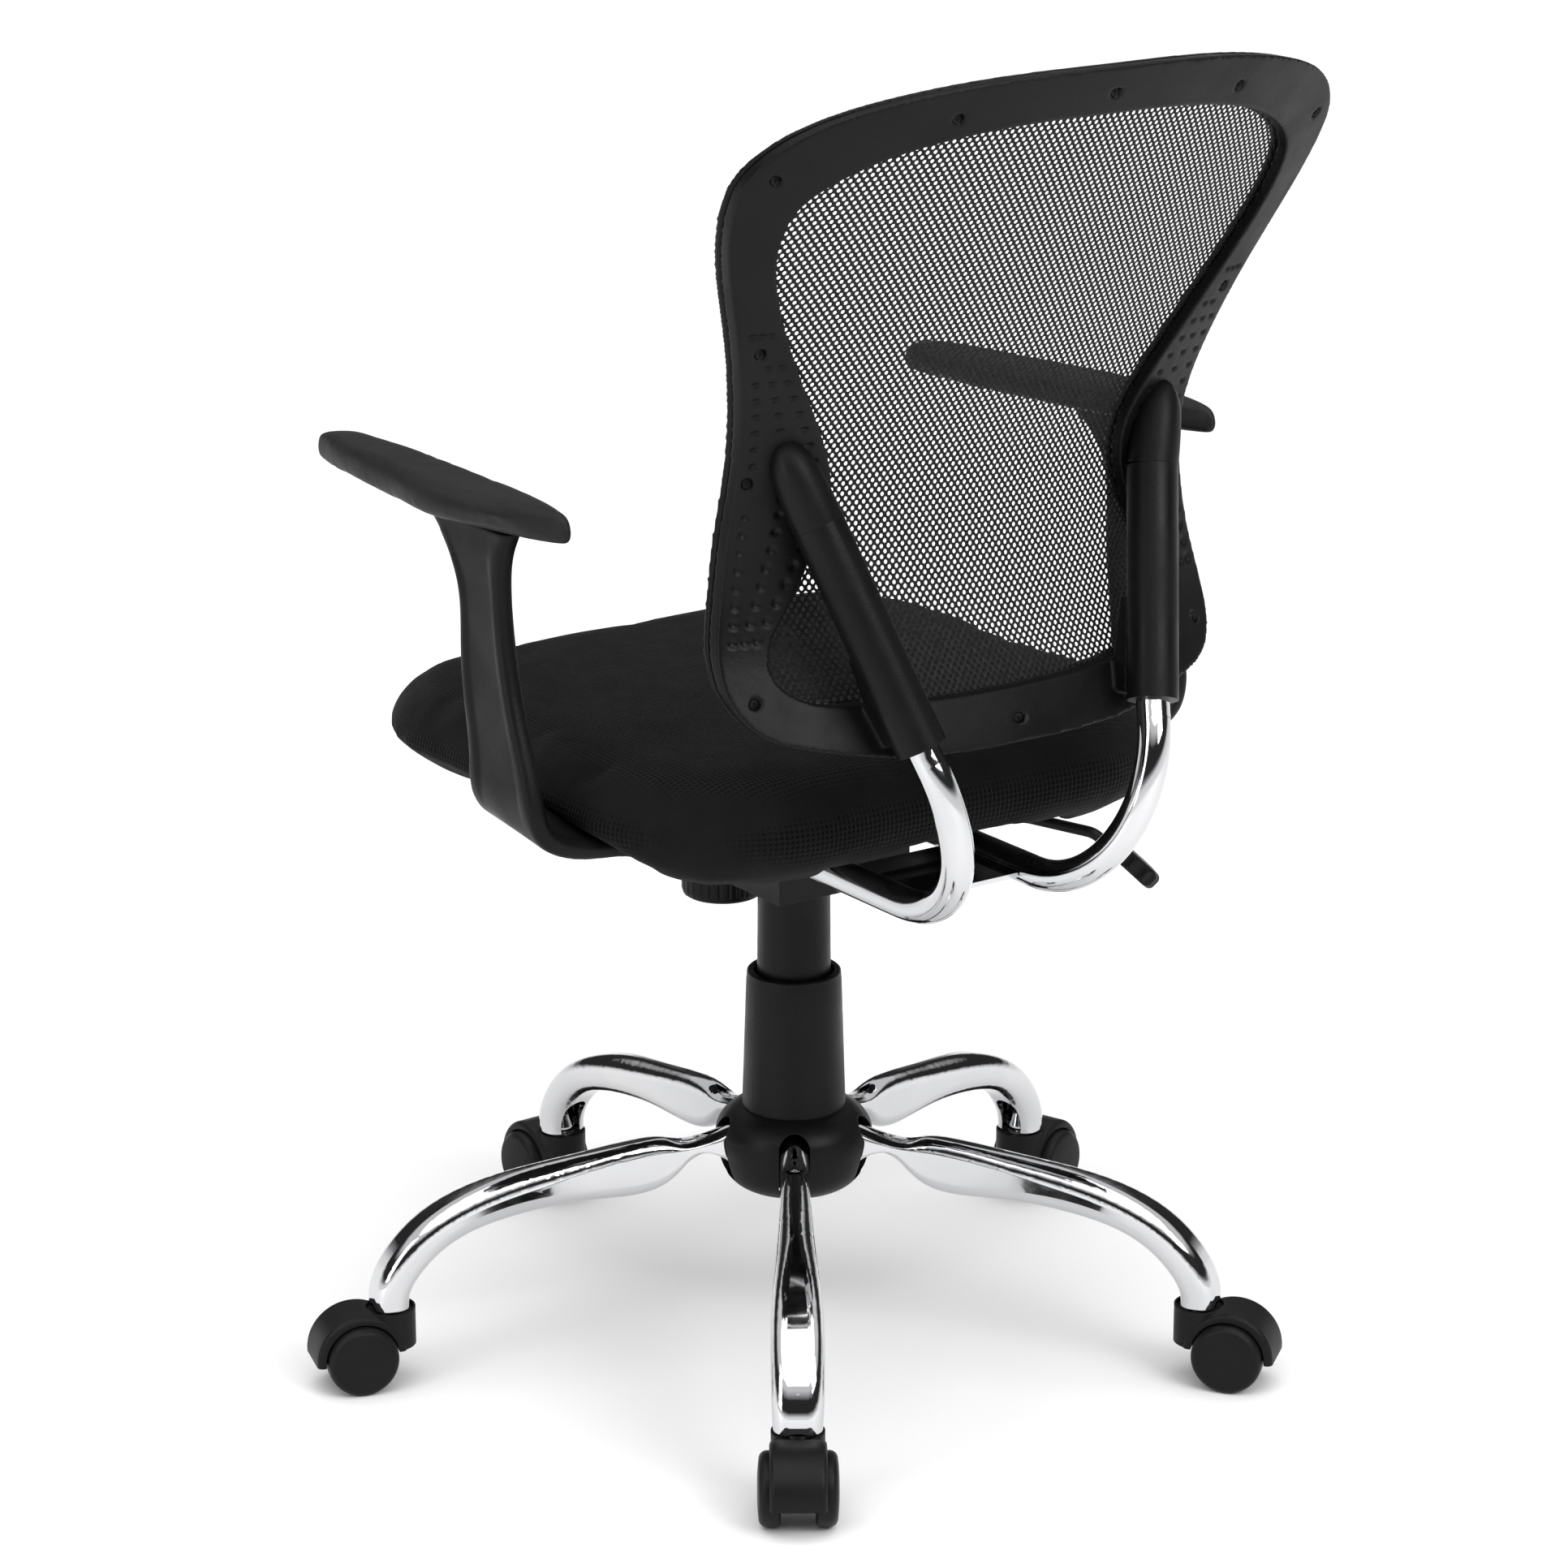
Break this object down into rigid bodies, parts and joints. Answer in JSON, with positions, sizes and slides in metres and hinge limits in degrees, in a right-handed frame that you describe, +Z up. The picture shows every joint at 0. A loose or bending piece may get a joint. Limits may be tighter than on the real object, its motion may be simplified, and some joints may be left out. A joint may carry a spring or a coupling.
{
  "type": "swivel office chair",
  "caption": "Swivel office chair with a bowed mesh back on J-shaped chromed tubes, padded mesh seat, fixed arms, gas-lift column, tilt mechanism and chromed star base on twin-wheel casters.",
  "frame": {"origin": "on the column's axis at the floor, midway between the casters' wheels", "axes": "+Z up, +Y towards the back of the chair, +X towards the sitter's left"},
  "size_m": [0.6809, 0.7002, 0.951],
  "materials": {
    "chrome": "mirror chrome plate on steel tube, slightly rippled from the bend",
    "cap_plastic": "fine-grained moulded black plastic",
    "wheel_plastic": "satin moulded black nylon",
    "steel": "turned and ground steel",
    "bush_plastic": "natural acetal",
    "black_steel": "black powder coat, fine orange peel",
    "zinc": "bright zinc plated",
    "board": "black moulded seat shell",
    "seat_fabric": "black three-dimensional spacer mesh with small round holes",
    "arm_plastic": "black moulded nylon, satin edges",
    "pad_foam": "black self-skinned foam with a fine leather-like grain",
    "frame_plastic": "black moulded plastic with a fine spark-eroded grain",
    "mesh": "black knitted mesh with open round holes"
  },
  "bodies": {
    "base": {"base_legs": "chrome", "caster_sockets": "chrome", "hub_core": "black_steel", "hub_cover": "cap_plastic", "column_tube": "black_steel", "column_bushing": "bush_plastic", "column_cover_lower": "cap_plastic"},
    "spindle": {"piston_rod": "steel", "thrust_bearing": "steel", "retaining_clip": "zinc"},
    "lift": {"gas_cylinder": "black_steel", "column_cover_upper": "cap_plastic", "mechanism_housing": "black_steel", "tilt_pivot_pin": "steel", "tension_spring": "steel"},
    "lock_sleeve": {"lever_collar": "cap_plastic", "lever_pin": "steel"},
    "lever": {"lever_rod": "black_steel", "lever_paddle": "arm_plastic"},
    "valve_pin": {"release_button": "steel"},
    "seat": {"tension_bolt": "zinc", "seat_plate": "black_steel", "seat_board": "board", "seat_cushion": "seat_fabric", "arm_left": "arm_plastic", "arm_right": "arm_plastic", "arm_pad_left": "pad_foam", "arm_pad_right": "pad_foam", "seat_bolts": "zinc", "back_tubes": "chrome", "tube_cross_plate": "chrome", "back_frame_rear": "frame_plastic", "back_frame_front": "frame_plastic", "back_mesh": "mesh", "sleeve_left": "frame_plastic", "sleeve_right": "frame_plastic", "sleeve_caps": "frame_plastic", "frame_screws": "black_steel"},
    "knob": {"tension_knob": "cap_plastic"},
    "caster_1": {"caster_1_hood": "wheel_plastic", "caster_1_pins": "steel"},
    "wheel_1_left": {"caster_1_wheel_left": "wheel_plastic"},
    "wheel_1_right": {"caster_1_wheel_right": "wheel_plastic"},
    "caster_2": {"caster_2_hood": "wheel_plastic", "caster_2_pins": "steel"},
    "wheel_2_left": {"caster_2_wheel_left": "wheel_plastic"},
    "wheel_2_right": {"caster_2_wheel_right": "wheel_plastic"},
    "caster_3": {"caster_3_hood": "wheel_plastic", "caster_3_pins": "steel"},
    "wheel_3_left": {"caster_3_wheel_left": "wheel_plastic"},
    "wheel_3_right": {"caster_3_wheel_right": "wheel_plastic"},
    "caster_4": {"caster_4_hood": "wheel_plastic", "caster_4_pins": "steel"},
    "wheel_4_left": {"caster_4_wheel_left": "wheel_plastic"},
    "wheel_4_right": {"caster_4_wheel_right": "wheel_plastic"},
    "caster_5": {"caster_5_hood": "wheel_plastic", "caster_5_pins": "steel"},
    "wheel_5_left": {"caster_5_wheel_left": "wheel_plastic"},
    "wheel_5_right": {"caster_5_wheel_right": "wheel_plastic"}
  },
  "joints": [
    {"name": "swivel", "type": "hinge", "parent": "base", "child": "spindle", "pos_m": [0, 0, 0.124], "axis": [0, 0, 1], "continuous": true},
    {"name": "height", "type": "slide", "parent": "spindle", "child": "lift", "axis": [0, 0, 1], "range_m": [-0.058, 0.05]},
    {"name": "lock_slide", "type": "slide", "parent": "lift", "child": "lock_sleeve", "axis": [-1, 0, 0], "range_m": [0, 0.012]},
    {"name": "lever_lift", "type": "hinge", "parent": "lock_sleeve", "child": "lever", "pos_m": [-0.061, 0, 0.3851], "axis": [0, 1, 0], "range_deg": [0, 5], "stiffness_Nm_per_rad": 3, "springref_deg": -5.73},
    {"name": "valve_press", "type": "slide", "parent": "lift", "child": "valve_pin", "axis": [0, 0, -1], "range_m": [0, 0.006]},
    {"name": "tilt", "type": "hinge", "parent": "lift", "child": "seat", "pos_m": [0, 0.03, 0.385], "axis": [-1, 0, 0], "range_deg": [0, 10], "stiffness_Nm_per_rad": 160, "springref_deg": -34.38, "deforming": ["tension_spring"]},
    {"name": "tension_turn", "type": "hinge", "parent": "seat", "child": "knob", "pos_m": [0, -0.088, 0.315], "axis": [0, 0, 1], "continuous": true},
    {"name": "caster_1_swivel", "type": "hinge", "parent": "base", "child": "caster_1", "pos_m": [0.16865, 0.24447, 0.055], "axis": [0, 0, 1], "continuous": true},
    {"name": "wheel_1_left_spin", "type": "hinge", "parent": "caster_1", "child": "wheel_1_left", "pos_m": [0.18228, 0.26423, 0.025], "axis": [-0.8231, 0.5678, 0], "continuous": true},
    {"name": "wheel_1_right_spin", "type": "hinge", "parent": "caster_1", "child": "wheel_1_right", "pos_m": [0.18228, 0.26423, 0.025], "axis": [-0.8231, 0.5678, 0], "continuous": true},
    {"name": "caster_2_swivel", "type": "hinge", "parent": "base", "child": "caster_2", "pos_m": [0.28462, -0.08485, 0.055], "axis": [0, 0, 1], "continuous": true},
    {"name": "wheel_2_left_spin", "type": "hinge", "parent": "caster_2", "child": "wheel_2_left", "pos_m": [0.30762, -0.09171, 0.025], "axis": [0.2857, 0.9583, 0], "continuous": true},
    {"name": "wheel_2_right_spin", "type": "hinge", "parent": "caster_2", "child": "wheel_2_right", "pos_m": [0.30762, -0.09171, 0.025], "axis": [0.2857, 0.9583, 0], "continuous": true},
    {"name": "caster_3_swivel", "type": "hinge", "parent": "base", "child": "caster_3", "pos_m": [0.00726, -0.29691, 0.055], "axis": [0, 0, 1], "continuous": true},
    {"name": "wheel_3_left_spin", "type": "hinge", "parent": "caster_3", "child": "wheel_3_left", "pos_m": [0.00784, -0.3209, 0.025], "axis": [0.9997, 0.0244, 0], "continuous": true},
    {"name": "wheel_3_right_spin", "type": "hinge", "parent": "caster_3", "child": "wheel_3_right", "pos_m": [0.00784, -0.3209, 0.025], "axis": [0.9997, 0.0244, 0], "continuous": true},
    {"name": "caster_4_swivel", "type": "hinge", "parent": "base", "child": "caster_4", "pos_m": [-0.28014, -0.09865, 0.055], "axis": [0, 0, 1], "continuous": true},
    {"name": "wheel_4_left_spin", "type": "hinge", "parent": "caster_4", "child": "wheel_4_left", "pos_m": [-0.30277, -0.10662, 0.025], "axis": [0.3322, -0.9432, 0], "continuous": true},
    {"name": "wheel_4_right_spin", "type": "hinge", "parent": "caster_4", "child": "wheel_4_right", "pos_m": [-0.30277, -0.10662, 0.025], "axis": [0.3322, -0.9432, 0], "continuous": true},
    {"name": "caster_5_swivel", "type": "hinge", "parent": "base", "child": "caster_5", "pos_m": [-0.18039, 0.23594, 0.055], "axis": [0, 0, 1], "continuous": true},
    {"name": "wheel_5_left_spin", "type": "hinge", "parent": "caster_5", "child": "wheel_5_left", "pos_m": [-0.19497, 0.25501, 0.025], "axis": [-0.7944, -0.6074, 0], "continuous": true},
    {"name": "wheel_5_right_spin", "type": "hinge", "parent": "caster_5", "child": "wheel_5_right", "pos_m": [-0.19497, 0.25501, 0.025], "axis": [-0.7944, -0.6074, 0], "continuous": true}
  ],
  "couplings": [
    {"joint": "valve_press", "follows": "lever_lift", "m_per_rad": 0.068755}
  ]
}
